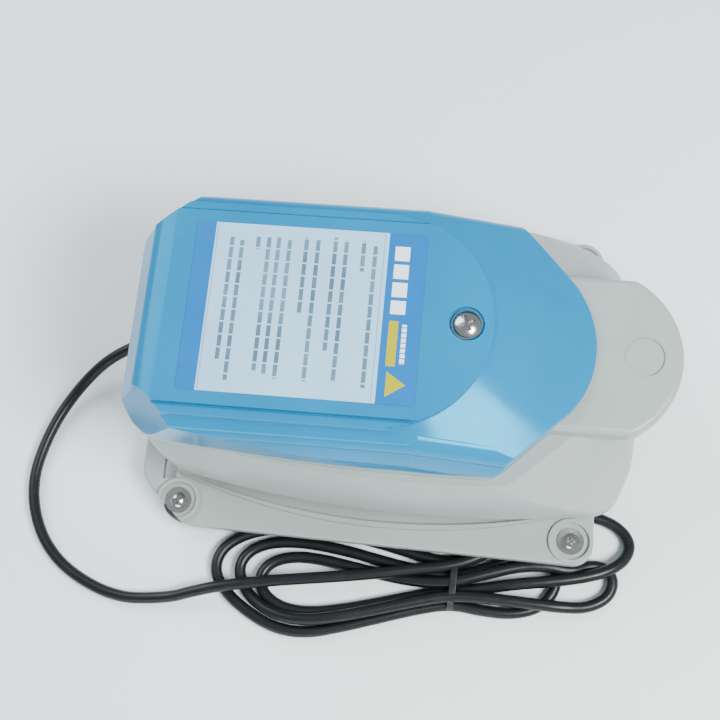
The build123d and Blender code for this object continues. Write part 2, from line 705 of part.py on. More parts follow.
def diaphragm(side):
    """Moulded rubber diaphragm: thick bead, one roll, flat middle."""
    mid = BEAD_T / 2
    t = WEB_T / 2
    face = make_face([
        Line((ROD_THREAD_R, mid - t), (DISC_R + 0.6, mid - t)),
        ThreePointArc((DISC_R + 0.6, mid - t), (15.0, mid + 0.9), (17.4, mid - t)),
        Line((17.4, mid - t), (CHAMBER_R, 0)),
        Line((CHAMBER_R, 0), (BEAD_R, 0)),
        Line((BEAD_R, 0), (BEAD_R, BEAD_T)),
        Line((BEAD_R, BEAD_T), (CHAMBER_R, BEAD_T)),
        ThreePointArc((CHAMBER_R, BEAD_T), (15.0, mid + 2.6), (DISC_R + 0.6, mid + t)),
        Line((DISC_R + 0.6, mid + t), (ROD_THREAD_R, mid + t)),
        Line((ROD_THREAD_R, mid + t), (ROD_THREAD_R, mid - t)),
    ])
    ring = revolve(Plane.XY * face, Axis.Y, 360)
    ring = Rot(0, 0, -90) * ring
    if side < 0:
        ring = Rot(0, 0, 180) * ring
    return Pos(along(side, PLATE_OUT), 0, AXIS_Z) * ring


def pump_head(side):
    """Valve block with the pumping chamber and two ports."""
    head = slab(side, HEAD_IN, HEAD_OUT, -PLATE_HALF_W, PLATE_HALF_W, Z_LOW, Z_HIGH)
    head -= shaft(side, HEAD_IN - 1, HEAD_IN + CHAMBER_T, 0, AXIS_Z, CHAMBER_R)
    for s in (-1, 1):
        head -= shaft(side, HEAD_IN, HEAD_OUT + 1, 0, AXIS_Z + s * PORT_OFF, PORT_R)
    for y, z in CORNERS:
        head -= shaft(side, HEAD_IN - 1, HEAD_OUT + 1, y, z, THROUGH_R + 0.3)
    return head


def flap(side, up):
    """Round rubber flap over a port: intake inside the chamber, outlet in the cover."""
    z = AXIS_Z + up * PORT_OFF
    d = HEAD_OUT if up < 0 else HEAD_IN + CHAMBER_T - FLAP_T
    disc = shaft(side, d, d + FLAP_T, 0, z, FLAP_R)
    hinge_z = z + FLAP_R + 0.8
    tab = slab(side, d, d + FLAP_T, -FLAP_TAB, FLAP_TAB, z + FLAP_R - 1.2, hinge_z)
    bead = rod_y(along(side, d + FLAP_T / 2), -FLAP_TAB, FLAP_TAB, hinge_z, FLAP_T / 2)
    return disc + tab + bead


def head_cover(side):
    """Outer cover of a pump head with intake and outlet rooms and a hose stub."""
    lid = slab(side, HEAD_OUT, COVER_OUT, -PLATE_HALF_W, PLATE_HALF_W, Z_LOW, Z_HIGH)
    lid = fillet([e for e in lid.edges().filter_by(Axis.X)], 4)
    lid -= slab(side, HEAD_OUT - 1, COVER_OUT - 3, -22, 22, AXIS_Z + 2, Z_HIGH - 3)
    lid -= slab(side, HEAD_OUT - 1, COVER_OUT - 3, -22, 22, Z_LOW + 3, AXIS_Z - 2)
    lid -= shaft(side, HEAD_OUT, COVER_OUT + 1, -8, AXIS_Z + PORT_OFF, 3.5)
    lid -= shaft(side, HEAD_OUT, COVER_OUT + 1, 8, AXIS_Z + PORT_OFF, 3.5)
    if side < 0:
        x = along(side, HEAD_OUT + 4.5)
        lid += rod_y(x, -PLATE_HALF_W - 8, -PLATE_HALF_W + 1, HOSE_Z, STUB_R)
        lid -= rod_y(x, -PLATE_HALF_W - 9, -20, HOSE_Z, STUB_BORE)
    else:
        lid += shaft(side, COVER_OUT - 1, COVER_OUT + 5, 0, HOSE_Z, STUB_R)
        lid -= shaft(side, COVER_OUT - 4, COVER_OUT + 6, 0, HOSE_Z, STUB_BORE)
    for y, z in CORNERS:
        lid -= shaft(side, HEAD_OUT - 1, COVER_OUT + 1, y, z, THROUGH_R + 0.3)
    return lid


def head_screws(side):
    """Four long screws through cover and head into the end plate."""
    out = []
    for y, z in CORNERS:
        pin = shaft(side, HALF_GAP - 1.5, COVER_OUT, y, z, THROUGH_R)
        head = shaft(side, COVER_OUT, COVER_OUT + 1.8, y, z, 2.9)
        out.append(pin + head - shaft(side, COVER_OUT + 0.8, COVER_OUT + 3, y, z, 1.2))
    return Compound(out)


def motor_mount(side, sy):
    """Rubber post between base and motor frame."""
    x = along(side, HALF_GAP - 6)
    post = rod_z(x, sy * 25, TRAY_TOP, Z_LOW, MOUNT_R)
    waist = rod_z(x, sy * 25, TRAY_TOP + 2.6, Z_LOW - 2.6, MOUNT_R + 1)
    waist -= rod_z(x, sy * 25, TRAY_TOP + 2, Z_LOW - 2, MOUNT_R - 1.2)
    return post - waist


# ---------------------------------------------------------------- air path to the outlet
def hollow_hose(points, radii):
    """Rubber hose swept along straight runs and arcs."""
    path = FilletPolyline(*points, radius=radii) if radii else Line(*points)
    start = Plane(origin=path @ 0, z_dir=path % 0)
    full = sweep(start * Circle(STUB_R + HOSE_WALL), path=path)
    return full - sweep(start * Circle(STUB_R), path=path)


def hose_rear():
    """Hose from the rear head along the near side to the manifold."""
    x0 = along(-1, HEAD_OUT + 4.5)
    x1 = sum(MANIFOLD_X) / 2
    points = [
        (x0, -PLATE_HALF_W - 0.2, HOSE_Z),
        (x0, HOSE_Y, HOSE_Z),
        (x1, HOSE_Y, HOSE_Z),
        (x1, -MANIFOLD_HALF - 0.2, HOSE_Z),
    ]
    return hollow_hose(points, 6.5)


def hose_front():
    """Short hose between the front head and the manifold."""
    a, b = along(1, COVER_OUT) + 0.2, MANIFOLD_X[0] - 0.2
    return rod_x(a, b, 0, HOSE_Z, STUB_R + HOSE_WALL) - rod_x(a - 1, b + 1, 0, HOSE_Z, STUB_R)


def manifold():
    """Air box that joins both hoses and feeds the outlet."""
    x0, x1 = MANIFOLD_X
    z0, z1 = MANIFOLD_Z
    box = block(x0, x1, -MANIFOLD_HALF, MANIFOLD_HALF, z0, z1)
    box = fillet(box.edges().filter_by(Axis.Z), 3)
    box += rod_x(x0 - 5, x0 + 1, 0, HOSE_Z, STUB_R)
    box += rod_y((x0 + x1) / 2, -MANIFOLD_HALF - 8, -MANIFOLD_HALF + 1, HOSE_Z, STUB_R)
    box -= block(x0 + 2, x1 - 2, -MANIFOLD_HALF + 2, MANIFOLD_HALF - 2, z0 + 2, z1 - 2)
    box -= rod_x(x0 - 6, x0 + 3, 0, HOSE_Z, STUB_BORE)
    box -= rod_y((x0 + x1) / 2, -MANIFOLD_HALF - 9, -MANIFOLD_HALF + 3, HOSE_Z, STUB_BORE)
    box -= rod_x(x1 - 3, x1 + 1, 0, SPIGOT_Z, SPIGOT_BORE)
    for s in (-1, 1):
        ear = block(x0 + 2, x1 - 2, min(s * 20, s * 26), max(s * 20, s * 26), z0, z0 + 3)
        box += ear
    return box


def outlet_nozzle():
    """Outlet spigot with an inner flange and a chamfered tip."""
    x_wall = NICHE_X - SHELL_T
    tube = rod_x(MANIFOLD_X[1], SPIGOT_END, 0, SPIGOT_Z, SPIGOT_R)
    tube += rod_x(MANIFOLD_X[1], x_wall - 1.2, 0, SPIGOT_Z, 8)
    tube += rod_x(x_wall - 1.2, NICHE_X, 0, SPIGOT_Z, SPIGOT_NECK_R)
    tube = chamfer([e for e in tube.edges() if abs(e.center().X - SPIGOT_END) < 0.01], 0.9)
    return tube - rod_x(MANIFOLD_X[1] - 1, SPIGOT_END + 1, 0, SPIGOT_Z, SPIGOT_BORE)


def outlet_seal():
    """Rubber washer between the spigot flange and the wall."""
    x_wall = NICHE_X - SHELL_T
    return rod_x(x_wall - 1.2, x_wall, 0, SPIGOT_Z, 8) - rod_x(80, 100, 0, SPIGOT_Z, SPIGOT_NECK_R)


# ---------------------------------------------------------------- supply
def terminal_block():
    """Two-way terminal block on the base."""
    body = block(-72, -52, 35, 45, TRAY_TOP, TRAY_TOP + 12)
    body -= block(-73, -51, 39.6, 40.4, TRAY_TOP + 7, TRAY_TOP + 13)
    for x in (-67, -57):
        body -= rod_z(x, 37.5, TRAY_TOP + 8, TRAY_TOP + 13, 1.6)
        body -= rod_z(x, 42.5, TRAY_TOP + 8, TRAY_TOP + 13, 1.6)
    return body


def wire(points, r, bend):
    """Round wire along straight runs and arcs."""
    path = FilletPolyline(*points, radius=bend)
    return sweep(Plane(origin=path @ 0, z_dir=path % 0) * Circle(r), path=path)


def leads():
    """Two insulated leads from the gland to the terminal block."""
    out = []
    for k in (0, 1):
        z = TRAY_TOP + 2.4 + 3.2 * k
        points = [
            (GLAND_FACE + 8.2, GLAND_Y + 1.4 * k, GLAND_Z - 2 + 2.5 * k),
            (-93, GLAND_Y + 1.4 * k, z),
            (-81, 28 + 2.4 * k, z),
            (-72, 38 + 2.4 * k, z),
        ]
        out.append(wire(points, 0.9, 3))
    return Compound(out)


def cord_gland():
    """Rubber strain relief in the rear wall."""
    gland = rod_x(GLAND_FACE, GLAND_FACE + 6, GLAND_Y, GLAND_Z, GLAND_NECK_R)
    gland += rod_x(GLAND_FACE - 2.4, GLAND_FACE, GLAND_Y, GLAND_Z, 7.0)
    gland += rod_x(GLAND_FACE + 6, GLAND_FACE + 8.2, GLAND_Y, GLAND_Z, 6.4)
    length = GLAND_FACE - 2.4 - GLAND_OUT
    sleeve = Rot(0, -90, 0) * Cone(5.2, CORD_R + 1.1, length)
    gland += Pos(GLAND_OUT + length / 2, GLAND_Y, GLAND_Z) * sleeve
    for k in range(3):
        x = GLAND_FACE - 4.6 - 3 * k
        core = rod_x(x - 0.6, x + 0.6, GLAND_Y, GLAND_Z, CORD_R + 0.9)
        gland -= rod_x(x - 0.5, x + 0.5, GLAND_Y, GLAND_Z, 9) - core
    return gland


def run_radii(points):
    """Bend radius at each inner point, from the shorter run and the turn."""
    out = []
    for a, b, c in zip(points, points[1:], points[2:]):
        u, v = Vector(*b) - Vector(*a), Vector(*c) - Vector(*b)
        half = u.get_angle(v) / 2
        out.append(0.45 * min(u.length, v.length) / tan(radians(half)))
    return out


def cord_run(points, label):
    """Cord tube with a printout of its bend radii and length."""
    radii = run_radii(points)
    path = FilletPolyline(*points, radius=radii)
    tube = sweep(Plane(origin=path @ 0, z_dir=path % 0) * Circle(CORD_R), path=path)
    ratio = tube.volume / (pi * CORD_R ** 2 * path.length)
    print(label, "radii", [round(r, 1) for r in radii])
    print(label, "length", round(path.length, 1), "fill", round(ratio, 4))
    return tube


LEAD_OUT = [
    (GLAND_OUT, GLAND_Y, GLAND_Z),
    (-134, 4.8, 18),
    (-152, -9.5, 6.5),
    (-164.5, -32, CORD_Z),
    (-169, -60, CORD_Z),
    (-155, -90, CORD_Z),
    (-124, -106, CORD_Z),
    (-96, -103.5, CORD_Z),
    (-72, -97.5, CORD_Z),
]
TAIL = [
    (48, -64, CORD_Z),
    (55, -32, CORD_Z),
    (58, 5, CORD_Z),
    (57, 38, CORD_Z),
    (54, 60, CORD_Z),
    (38, 75.5, CORD_Z),
    (17, 78, CORD_Z),
]
HANK_TOP = 7.9
HANK_LOW = 0.9
TIE_X = 29.0


def cord_hank():
    """Outer shape of the tied hank lying along the near side."""
    outline = Spline(
        (-77, -87), (-68, -101), (-36, -115), (0, -107), (TIE_X, -98), (60, -95), (90, -92),
        (99, -80), (107, -65), (100, -54), (82, -49), (60, -56), (TIE_X, -76), (-10, -72), (-60, -70),
        periodic=True,
    )
    hank = extrude(Pos(0, 0, HANK_LOW) * make_face([outline]), HANK_TOP - HANK_LOW)
    left = Spline((-40, -97), (-10, -101), (14, -96), (-10, -92), periodic=True)
    right = Spline((62, -86.5), (86, -86), (90, -81), (70, -81), periodic=True)
    for hole in (left, right):
        hank -= extrude(make_face([hole]), 20)
    hank -= rod_z(LUG_FRONT[0], -LUG_FRONT[1], -1, 20, FOOT_R + 2.5)
    return hank


def cord_tie():
    """Thin tie around the waist of the hank."""
    band = block(TIE_X - 1.8, TIE_X + 1.8, -99.2, -74.8, 0.1, HANK_TOP + 0.8)
    waist = block(TIE_X - 6, TIE_X + 6, -98, -76, HANK_LOW, HANK_TOP)
    return band - waist - cord_hank()


PLUG = (-18.0, 14.0, 68.0, 88.0, 9.2)


def plug_body():
    """Flat two-blade plug lying behind the pump."""
    x0, x1, y0, y1, top = PLUG
    body = block(x0, x1, y0, y1, 0.2, top)
    body = fillet(body.edges().filter_by(Axis.Z), 5)
    body = fillet([e for e in body.edges() if abs(e.center().Z - top) < 0.01], 1.5)
    y = (y0 + y1) / 2
    neck = Pos(x1 + 1.5, y, CORD_Z + 0.6) * Rot(0, 90, 0) * Cone(CORD_R + 0.6, CORD_R + 0.3, 5)
    return body + neck - rod_x(17, 30, y, CORD_Z, CORD_R)


def plug_blades():
    """Two flat blades."""
    x0, y = PLUG[0], (PLUG[2] + PLUG[3]) / 2
    out = []
    for s in (-1, 1):
        out.append(block(x0 - 16, x0, y + s * 6.35 - 0.75, y + s * 6.35 + 0.75, 1.6, 7.9))
    return Compound(out)


# ---------------------------------------------------------------- assembly
keep("body_shell", body_shell())
keep("top_cover", top_cover())
keep("cover_label", cover_label())
keep("cover_screw", cover_screw())
keep("screw_post", screw_post())
keep("cover_gasket", cover_gasket())
keep("filter_pad", filter_pad())
keep("base_tray", base_tray())
keep("foot_rear_near", foot(LUG_REAR[0], -LUG_REAR[1]))
keep("foot_rear_far", foot(LUG_REAR[0], LUG_REAR[1]))
keep("foot_front_near", foot(LUG_FRONT[0], -LUG_FRONT[1]))
keep("foot_front_far", foot(LUG_FRONT[0], LUG_FRONT[1]))
keep("foot_screws", foot_screws())
keep("body_screws", body_screws())
keep("end_plate_rear", end_plate(-1))
keep("end_plate_front", end_plate(1))
keep("motor_rails", motor_rails())
for word, sy in (("near", -1), ("far", 1)):
    keep("stator_core_" + word, stator_core(sy))
    keep("bobbin_" + word, bobbin(sy))
    keep("winding_" + word, winding(sy))
keep("shuttle", shuttle())
keep("shuttle_magnets", magnets())
for word, side in (("rear", -1), ("front", 1)):
    keep("clamp_discs_" + word, clamp_discs(side))
    keep("rod_nut_" + word, rod_nut(side))
    keep("diaphragm_" + word, diaphragm(side))
    keep("pump_head_" + word, pump_head(side))
    keep("intake_flap_" + word, flap(side, 1))
    keep("outlet_flap_" + word, flap(side, -1))
    keep("head_cover_" + word, head_cover(side))
    keep("head_screws_" + word, head_screws(side))
    for near, sy in (("near", -1), ("far", 1)):
        keep("motor_mount_" + word + "_" + near, motor_mount(side, sy))
keep("hose_rear", hose_rear())
keep("hose_front", hose_front())
keep("manifold", manifold())
keep("outlet_nozzle", outlet_nozzle())
keep("outlet_seal", outlet_seal())
keep("terminal_block", terminal_block())
keep("leads", leads())
keep("cord_gland", cord_gland())
keep("cord", cord_run(LEAD_OUT, "cord"))
keep("cord_tail", cord_run(TAIL, "cord_tail"))
keep("cord_hank", cord_hank())
keep("cord_tie", cord_tie())
keep("plug_body", plug_body())
keep("plug_blades", plug_blades())

for name, shape in parts.items():
    export_step(shape, "parts/" + name + ".step")
print(len(parts), "sub-parts")
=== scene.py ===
import bpy
import bmesh
import json
from mathutils import Matrix, Vector, noise


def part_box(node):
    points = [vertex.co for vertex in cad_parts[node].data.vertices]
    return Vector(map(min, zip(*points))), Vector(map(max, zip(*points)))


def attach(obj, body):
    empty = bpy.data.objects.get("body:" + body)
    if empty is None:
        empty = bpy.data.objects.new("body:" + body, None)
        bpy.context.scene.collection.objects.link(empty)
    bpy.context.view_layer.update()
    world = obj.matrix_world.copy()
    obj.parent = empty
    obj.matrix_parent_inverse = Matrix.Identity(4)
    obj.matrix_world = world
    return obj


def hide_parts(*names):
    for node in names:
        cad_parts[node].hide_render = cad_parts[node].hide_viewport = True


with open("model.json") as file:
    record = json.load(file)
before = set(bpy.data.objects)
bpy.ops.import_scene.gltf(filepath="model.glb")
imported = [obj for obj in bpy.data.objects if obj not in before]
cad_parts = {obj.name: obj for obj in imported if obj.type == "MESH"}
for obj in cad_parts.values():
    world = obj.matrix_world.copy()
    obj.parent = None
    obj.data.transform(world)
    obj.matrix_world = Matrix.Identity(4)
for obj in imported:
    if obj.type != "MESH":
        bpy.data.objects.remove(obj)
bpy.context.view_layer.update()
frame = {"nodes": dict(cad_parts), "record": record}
nodes = frame["nodes"]
MM = 0.001


# ---------------------------------------------------------------- camera
CAMERA_RIGHT = (0.99449, 0.09285, -0.04861)
CAMERA_UP = (-0.07385, 0.94997, 0.30349)
CAMERA_PLACE = (0.02203, -0.16174, 0.56481)


def make_camera():
    """Camera at the photo's view: high over the near side, turned a little about its axis."""
    right = Vector(CAMERA_RIGHT).normalized()
    up = Vector(CAMERA_UP)
    up = (up - right * up.dot(right)).normalized()
    turn = Matrix((right, up, right.cross(up))).transposed().to_4x4()
    data = bpy.data.cameras.new("camera")
    data.lens = 62.5
    data.sensor_width = 36.0
    data.clip_start = 0.01
    data.clip_end = 10.0
    cam = bpy.data.objects.new("camera", data)
    cam.matrix_world = Matrix.Translation(Vector(CAMERA_PLACE)) @ turn
    bpy.context.scene.collection.objects.link(cam)
    bpy.context.scene.camera = cam


make_camera()

# ---------------------------------------------------------------- cord
# Points in millimetres, along the middle of the cord.
CORD_R = 2.6
LOW = 2.65                  # height of a stretch that lies on the floor
LEAD = [
    (-119, 9.5, 22.5), (-134, 4.8, 18), (-152, -9.5, 6.5), (-164.5, -32, 2.8), (-169, -61, 2.8),
    (-155, -90, 2.8), (-124, -106, 2.8), (-98, -104, 3.2), (-85, -100, 7.2), (-72, -96.5, 8.0),
    (-48, -92.2, 8.0), (-22, -88.5, 8.0), (-4, -85.4, 8.0), (12, -82.2, 7.9), (26, -79.8, 7.8),
]
RIGHT_1 = [
    (38, -75.5, 7.8), (51, -67.5, 7.4), (64, -57.5, 5.0), (78, -51, 2.7), (91, -51.2, LOW),
    (101.5, -55.2, LOW), (107, -62.5, 2.9), (104, -70.5, 4.6), (95.5, -76.5, 7.4),
    (83, -80.4, 8.0), (68, -83.2, 8.0), (54, -85.4, 7.2), (42, -88, 4.6),
]
LEFT_C = [
    (29, -89.5, LOW), (14, -93, LOW), (-2, -97.5, LOW), (-18, -101.8, LOW), (-34, -104.8, LOW),
    (-46.5, -103.6, LOW), (-55, -98.2, LOW), (-57.5, -91, LOW), (-54, -84.6, LOW),
    (-45, -80.8, LOW), (-33, -80.4, LOW), (-17, -82.8, LOW), (-1, -85.6, 2.9), (13, -87.3, 5.4),
]
RIGHT_2 = [
    (28, -86.8, 7.4), (43, -81.8, 7.9), (58, -77, 7.9), (70, -75.9, 7.9), (80, -77.2, 6.4),
    (88.5, -73.4, 3.3), (95.8, -73.6, LOW), (100, -79.2, LOW), (97.6, -87, LOW),
    (88.5, -92.2, 3.6), (77, -93.4, 7.4), (62, -92.8, 7.9), (46, -92.3, 7.8),
]
LEFT_B = [
    (29, -92.2, 7.4), (14, -95.8, 7.2), (-2, -100.6, 7.2), (-18, -105.2, 7.2), (-34, -108.6, 7.0),
    (-47, -107.6, 5.6), (-58, -102.4, 3.3), (-65, -94.8, LOW), (-67.5, -86.4, LOW),
    (-62.6, -78.8, LOW), (-52, -74.6, LOW), (-38, -73.8, LOW), (-20, -75.8, LOW), (-4, -79, LOW),
    (12, -81.8, LOW),
]
RIGHT_3 = [
    (28, -83.6, LOW), (42, -79, LOW), (54, -73.6, LOW), (64.5, -70.2, LOW), (72, -72.2, LOW),
    (75, -79.4, LOW), (73.5, -87.4, LOW), (67, -94.2, LOW), (56, -97.6, LOW), (43, -97.4, LOW),
]
LEFT_A = [
    (29, -95.4, LOW), (14, -99, LOW), (-2, -104.2, LOW), (-18, -109.4, LOW), (-34, -113.8, LOW),
    (-47.5, -113, LOW), (-60, -107.6, LOW), (-71, -99.8, LOW), (-78, -91, LOW), (-77, -81, LOW),
    (-68.5, -73.4, LOW), (-56, -69, LOW), (-40, -67.4, LOW), (-22, -68.4, LOW), (-4, -71.4, LOW),
    (12, -75, LOW),
]
TAIL = [
    (27, -77.6, LOW), (38, -72, LOW), (47, -61.5, LOW), (53, -46, LOW), (57.5, -20, LOW),
    (59, 8, LOW), (57.5, 36, LOW), (54, 57, LOW), (45.5, 69.5, LOW), (32, 76.5, 2.7),
    (18, 78, 2.8),
]
ROUTE = LEAD + RIGHT_1 + LEFT_C + RIGHT_2 + LEFT_B + RIGHT_3 + LEFT_A + TAIL
TIE_X = 29.0                # where the strap holds the hank


def make_cord():
    """The whole cord as one smooth spline, from the gland through the hank to the plug."""
    data = bpy.data.curves.new("cord_line", "CURVE")
    data.dimensions = "3D"
    data.resolution_u = 10
    data.bevel_depth = 1.0
    data.bevel_resolution = 7
    data.use_fill_caps = True
    spline = data.splines.new("NURBS")
    spline.points.add(len(ROUTE) - 1)
    for point, (x, y, z) in zip(spline.points, ROUTE):
        point.co = (x * MM, y * MM, z * MM, 1.0)
        point.radius = CORD_R * MM
    spline.order_u = 3
    spline.use_endpoint_u = True
    line = bpy.data.objects.new("cord_line", data)
    bpy.context.scene.collection.objects.link(line)
    return line


cord_line = make_cord()
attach(cord_line, "base")
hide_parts("cord", "cord_hank", "cord_tail")


# ---------------------------------------------------------------- material helpers
class Nodes:
    """A few calls that keep procedural materials short."""

    def __init__(self, name, color, rough, metallic=0.0, **sockets):
        self.mat = bpy.data.materials.new(name)
        self.mat.use_nodes = True
        self.tree = self.mat.node_tree
        self.shader = self.tree.nodes["Principled BSDF"]
        self.put("Base Color", (*color, 1.0))
        self.put("Roughness", rough)
        self.put("Metallic", metallic)
        for key, value in sockets.items():
            self.put(key.replace("_", " "), value)
        self.place = self.new("ShaderNodeTexCoord").outputs["Object"]
        self.mat.diffuse_color = (*color, 1.0)

    def new(self, kind, **settings):
        node = self.tree.nodes.new(kind)
        for key, value in settings.items():
            setattr(node, key, value)
        return node

    def put(self, socket, value):
        self.shader.inputs[socket].default_value = value

    def feed(self, node, socket, value):
        """Link a socket or set a plain value."""
        if isinstance(value, bpy.types.NodeSocket):
            self.tree.links.new(value, node.inputs[socket])
        else:
            node.inputs[socket].default_value = value

    def math(self, op, a, b=0.0):
        node = self.new("ShaderNodeMath", operation=op)
        self.feed(node, 0, a)
        self.feed(node, 1, b)
        return node.outputs[0]

    def stretch(self, sx, sy, sz):
        """Object place scaled along each axis."""
        node = self.new("ShaderNodeMapping")
        self.feed(node, "Vector", self.place)
        node.inputs["Scale"].default_value = (sx, sy, sz)
        return node.outputs[0]

    def noise(self, scale, detail=3.0, rough=0.5, vector=None):
        """Noise in cycles per metre."""
        node = self.new("ShaderNodeTexNoise")
        self.feed(node, "Vector", vector or self.place)
        node.inputs["Scale"].default_value = scale
        node.inputs["Detail"].default_value = detail
        node.inputs["Roughness"].default_value = rough
        return node.outputs["Fac"]

    def cells(self, scale):
        """Distance to the middle of each cell, in cells per metre."""
        node = self.new("ShaderNodeTexVoronoi")
        self.feed(node, "Vector", self.place)
        node.inputs["Scale"].default_value = scale
        return node.outputs["Distance"]

    def wave(self, scale, direction):
        """Even bands across one axis."""
        node = self.new("ShaderNodeTexWave", bands_direction=direction)
        self.feed(node, "Vector", self.place)
        node.inputs["Scale"].default_value = scale
        return node.outputs["Fac"]

    def span(self, value, low, high, out_low=0.0, out_high=1.0):
        """Remap a value, clamped."""
        node = self.new("ShaderNodeMapRange")
        self.feed(node, "Value", value)
        keys = ("From Min", "From Max", "To Min", "To Max")
        for key, number in zip(keys, (low, high, out_low, out_high)):
            node.inputs[key].default_value = number
        return node.outputs["Result"]

    def mix(self, factor, a, b):
        """Blend two colours."""
        node = self.new("ShaderNodeMix", data_type="RGBA")
        self.feed(node, "Factor", factor)
        for socket, value in (("A", a), ("B", b)):
            found = [s for s in node.inputs if s.name == socket and s.type == "RGBA"][0]
            if isinstance(value, bpy.types.NodeSocket):
                self.tree.links.new(value, found)
            else:
                found.default_value = (*value, 1.0)
        return [s for s in node.outputs if s.type == "RGBA"][0]

    def color(self, value):
        self.feed(self.shader, "Base Color", value)

    def rough(self, value):
        self.feed(self.shader, "Roughness", value)

    def bump(self, height, depth_mm):
        node = self.new("ShaderNodeBump")
        node.inputs["Strength"].default_value = 1.0
        node.inputs["Distance"].default_value = depth_mm * MM
        self.feed(node, "Height", height)
        self.feed(self.shader, "Normal", node.outputs[0])

    def axis(self, name):
        """One coordinate of the object place, in metres."""
        node = self.new("ShaderNodeSeparateXYZ")
        self.feed(node, "Vector", self.place)
        return node.outputs[name]


def shade(color, k):
    """A colour made darker or lighter, kept in range."""
    return tuple(min(1.0, max(0.0, c * k)) for c in color)


def moulded(name, color, rough, grain=1400, depth=0.02, dirt=0.06, **sockets):
    """Injection moulded plastic: faint colour drift, fine grain, handling marks in the gloss."""
    m = Nodes(name, color, rough, **sockets)
    drift = m.noise(28, 3)
    m.color(m.mix(m.span(drift, 0.35, 0.68), shade(color, 1 - dirt), shade(color, 1 + dirt * 0.6)))
    smear = m.noise(75, 5, 0.65)
    m.rough(m.span(smear, 0.3, 0.75, rough * 0.82, min(1.0, rough * 1.22)))
    m.bump(m.noise(grain, 2), depth)
    return m


def plated(name, color, rough):
    """Plated or turned metal with fine scratches and a little wear."""
    m = Nodes(name, color, rough, 1.0)
    fine = m.noise(900, 4, 0.7, m.stretch(1, 6, 1))
    wear = m.noise(260, 3)
    m.color(m.mix(m.span(wear, 0.4, 0.7), shade(color, 0.82), color))
    m.rough(m.span(fine, 0.3, 0.75, rough * 0.7, min(1.0, rough * 1.6)))
    m.bump(fine, 0.01)
    return m


def rubbery(name, color, rough, grain=1800, depth=0.03, dust=0.5):
    """Rubber or flexible sheath with a dusty bloom."""
    m = Nodes(name, color, rough, Specular_IOR_Level=0.3)
    bloom = m.noise(120, 5, 0.7)
    m.color(m.mix(m.span(bloom, 0.45, 0.8, 0.0, dust), color, shade(color, 2.4)))
    m.rough(m.span(m.noise(300, 3), 0.3, 0.7, rough * 0.85, min(1.0, rough * 1.15)))
    m.bump(m.noise(grain, 3), depth)
    return m


# ---------------------------------------------------------------- materials
BLUE = (0.0, 0.185, 0.39)
BLUE_TINT = (0.12, 0.72, 1.0, 1.0)
GREY = (0.30, 0.36, 0.34)


def cover_material():
    """Glossy blue plastic with a soft orange peel and hairline scratches."""
    m = Nodes("cover_blue", BLUE, 0.16, Specular_IOR_Level=0.4, Specular_Tint=BLUE_TINT)
    drift = m.noise(22, 3)
    m.color(m.mix(m.span(drift, 0.35, 0.7), shade(BLUE, 0.94), shade(BLUE, 1.06)))
    scratch = m.noise(900, 4, 0.75, m.stretch(0.12, 1.6, 1.0))
    smear = m.noise(60, 5, 0.65)
    marks = m.math("MULTIPLY", m.span(scratch, 0.6, 0.8), 0.12)
    m.rough(m.math("ADD", m.span(smear, 0.3, 0.75, 0.12, 0.2), marks))
    m.bump(m.noise(420, 2, 0.4), 0.012)
    return m.mat


LABEL_BLUE = (0.0, 0.14, 0.42)
LABEL_PALE = (0.34, 0.58, 0.78)
LABEL_TINT = (0.4, 0.8, 1.0, 1.0)
INK = (0.022, 0.045, 0.075)
YELLOW = (0.42, 0.38, 0.0)
PAPER = (0.80, 0.86, 0.92)

# Layout of the label in millimetres: boxes are x from, x to, y from, y to.
FIELD_X = (-76.3, -6.6)             # pale field, between the two blue ends
RULES = [(-8.5, -8.1, -34.6, 34.6), (-75.6, -75.2, -34.6, 34.6)]
SQUARES = (-3.9, 2.0, 1.3, 31.2)
SHORT_ROW = (1.3, 3.2, -19.0, -2.8)
PATCH = (-3.9, -0.2, -20.0, -1.5)
SIGN_TIP_X = 4.5
SIGN_FOOT_X = -3.2
SIGN_Y = -27.2
SIGN_SPREAD = 5.1 / 7.7             # half width over height
BAR_HALF = 0.85
# Rows of dashes: middle x, y from, y to.
BARS = [
    (-69.2, -22.6, 29.2), (-65.1, -30.4, 28.1), (-58.7, 24.5, 30.0), (-54.4, -25.8, 30.0),
    (-50.5, -26.8, 30.3), (-46.1, -28.6, 29.4), (-39.4, -0.9, 31.1), (-34.7, -28.6, 30.2),
    (-27.8, -15.6, 31.9), (-23.4, -28.2, 31.0), (-16.5, 18.1, 31.2), (-11.8, -29.5, 29.2),
]


